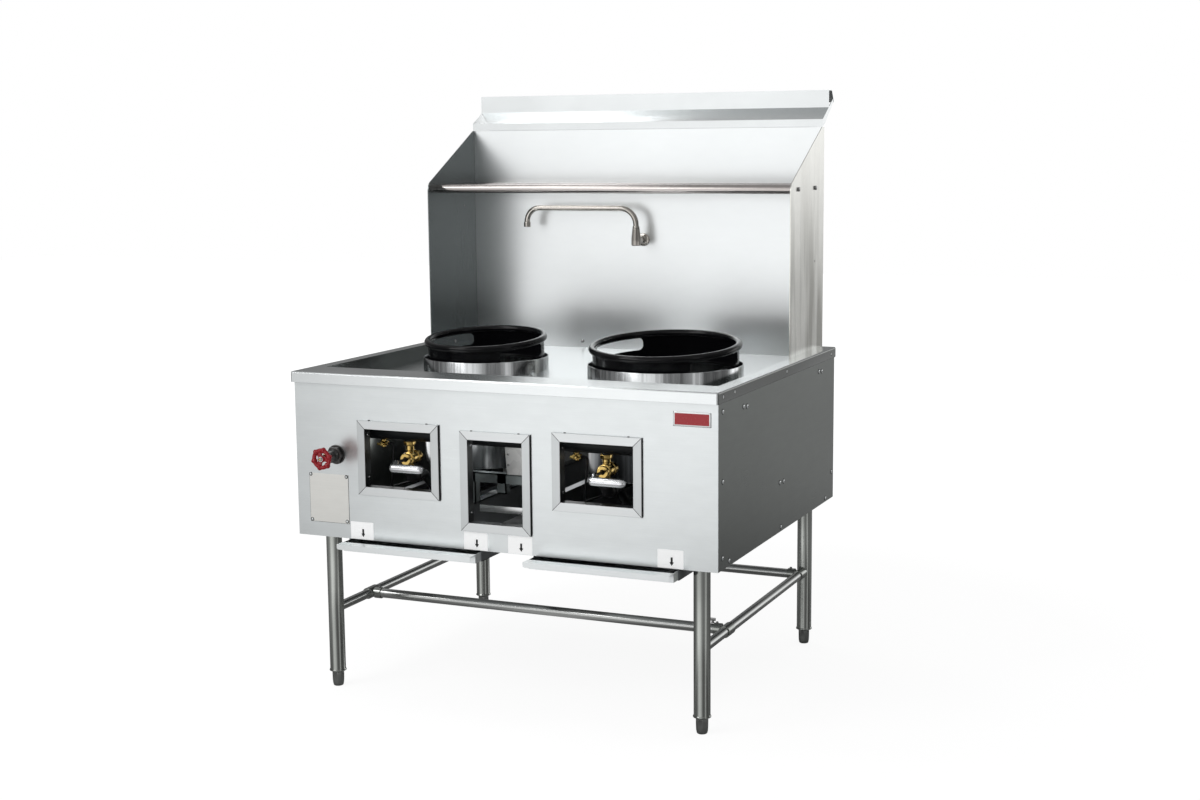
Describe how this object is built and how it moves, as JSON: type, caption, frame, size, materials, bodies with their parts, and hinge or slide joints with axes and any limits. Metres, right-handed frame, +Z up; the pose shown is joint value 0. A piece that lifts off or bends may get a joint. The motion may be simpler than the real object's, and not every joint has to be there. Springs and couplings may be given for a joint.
{
  "type": "wok range",
  "caption": "Gas wok range with two fire chambers and lift-off rings in a sunken deck, framed control windows, splash back with swivel spout and flue, drip trays and railed legs.",
  "frame": {"origin": "centre of the bounding box on the floor, under the four feet", "axes": "+Z up, front of the range towards -Y, +X to the right as seen from the front"},
  "size_m": [1.168, 1.139, 1.565],
  "materials": {
    "brushed_stainless": "brushed along the sheet, satin",
    "shaded_stainless": "brushed, seen in shade",
    "polished_steel": "polished tube and fittings",
    "satin_chrome": "satin",
    "leg_steel": "half-polished tube",
    "galvanised": "galvanised, mottled",
    "dark_steel": "dark, dull",
    "black_enamel": "gloss",
    "black_pipe": "semi-matt",
    "brass": "machined",
    "cast_iron": "cast, dry",
    "red_enamel": "gloss"
  },
  "bodies": {
    "range": {"front_panel": "brushed_stainless", "left_side_panel": "shaded_stainless", "right_side_panel": "shaded_stainless", "rear_panel": "galvanised", "window_frame_left": "brushed_stainless", "window_frame_centre": "brushed_stainless", "window_frame_right": "brushed_stainless", "deck_top": "brushed_stainless", "splash_panel": "brushed_stainless", "left_wing": "shaded_stainless", "right_wing": "brushed_stainless", "rack_bar_front": "polished_steel", "rack_bar_rear": "polished_steel", "flue_cap": "brushed_stainless", "flue_riser": "galvanised", "base_frame": "dark_steel", "gas_manifold": "black_pipe", "water_valve": "polished_steel", "water_pipe": "galvanised", "faucet_body": "polished_steel", "front_left_leg": "leg_steel", "front_left_rail_tee": "leg_steel", "rear_left_leg": "leg_steel", "rear_left_rail_tee": "leg_steel", "left_side_rail": "leg_steel", "left_chamber": "brushed_stainless", "left_burner": "cast_iron", "left_gas_valve": "brass", "left_burner_feed": "black_pipe", "left_pilot_valve": "brass", "left_pilot_tube": "black_pipe", "front_right_leg": "leg_steel", "front_right_rail_tee": "leg_steel", "rear_right_leg": "leg_steel", "rear_right_rail_tee": "leg_steel", "right_side_rail": "leg_steel", "right_chamber": "brushed_stainless", "right_burner": "cast_iron", "right_gas_valve": "brass", "right_burner_feed": "black_pipe", "right_pilot_valve": "brass", "right_pilot_tube": "black_pipe", "front_cross_rail": "leg_steel", "rear_cross_rail": "leg_steel"},
    "left_lever": {"left_valve_lever": "black_pipe", "left_lever_grip": "satin_chrome"},
    "right_lever": {"right_valve_lever": "black_pipe", "right_lever_grip": "satin_chrome"},
    "left_pilot_key": {"left_pilot_key": "brass"},
    "right_pilot_key": {"right_pilot_key": "brass"},
    "handwheel": {"handwheel": "red_enamel"},
    "spout": {"faucet_spout": "polished_steel"},
    "left_tray": {"left_drip_tray": "brushed_stainless"},
    "right_tray": {"right_drip_tray": "brushed_stainless"},
    "left_ring": {"left_wok_ring": "black_enamel"},
    "right_ring": {"right_wok_ring": "black_enamel"},
    "front_left_foot": {"front_left_foot": "leg_steel"},
    "front_right_foot": {"front_right_foot": "leg_steel"},
    "rear_left_foot": {"rear_left_foot": "leg_steel"},
    "rear_right_foot": {"rear_right_foot": "leg_steel"}
  },
  "joints": [
    {"name": "left_lever_turn", "type": "hinge", "parent": "range", "child": "left_lever", "pos_m": [-0.284, -0.4435, 0.628], "axis": [0, 1, 0], "range_deg": [0, 90]},
    {"name": "right_lever_turn", "type": "hinge", "parent": "range", "child": "right_lever", "pos_m": [0.265, -0.4435, 0.632], "axis": [0, 1, 0], "range_deg": [0, 90]},
    {"name": "left_pilot_turn", "type": "hinge", "parent": "range", "child": "left_pilot_key", "pos_m": [-0.361, -0.4335, 0.6627], "axis": [0, 1, 0], "range_deg": [0, 90]},
    {"name": "right_pilot_turn", "type": "hinge", "parent": "range", "child": "right_pilot_key", "pos_m": [0.185, -0.4335, 0.6627], "axis": [0, 1, 0], "range_deg": [0, 90]},
    {"name": "handwheel_turn", "type": "hinge", "parent": "range", "child": "handwheel", "pos_m": [-0.46, -0.5595, 0.638], "axis": [0, 1, 0], "range_deg": [0, 1080]},
    {"name": "spout_swing", "type": "hinge", "parent": "range", "child": "spout", "pos_m": [0.007, 0.4065, 1.1798], "axis": [0, 0, 1], "range_deg": [0, 180]},
    {"name": "left_tray_slide", "type": "slide", "parent": "range", "child": "left_tray", "axis": [0, -1, 0], "range_m": [0, 0.45]},
    {"name": "right_tray_slide", "type": "slide", "parent": "range", "child": "right_tray", "axis": [0, -1, 0], "range_m": [0, 0.45]},
    {"name": "left_ring_lift", "type": "slide", "parent": "range", "child": "left_ring", "axis": [0, 0, 1], "range_m": [0, 0.25]},
    {"name": "right_ring_lift", "type": "slide", "parent": "range", "child": "right_ring", "axis": [0, 0, 1], "range_m": [0, 0.25]},
    {"name": "front_left_foot_screw", "type": "slide", "parent": "range", "child": "front_left_foot", "axis": [0, 0, -1], "range_m": [0, 0.02]},
    {"name": "front_right_foot_screw", "type": "slide", "parent": "range", "child": "front_right_foot", "axis": [0, 0, -1], "range_m": [0, 0.02]},
    {"name": "rear_left_foot_screw", "type": "slide", "parent": "range", "child": "rear_left_foot", "axis": [0, 0, -1], "range_m": [0, 0.02]},
    {"name": "rear_right_foot_screw", "type": "slide", "parent": "range", "child": "rear_right_foot", "axis": [0, 0, -1], "range_m": [0, 0.02]}
  ]
}
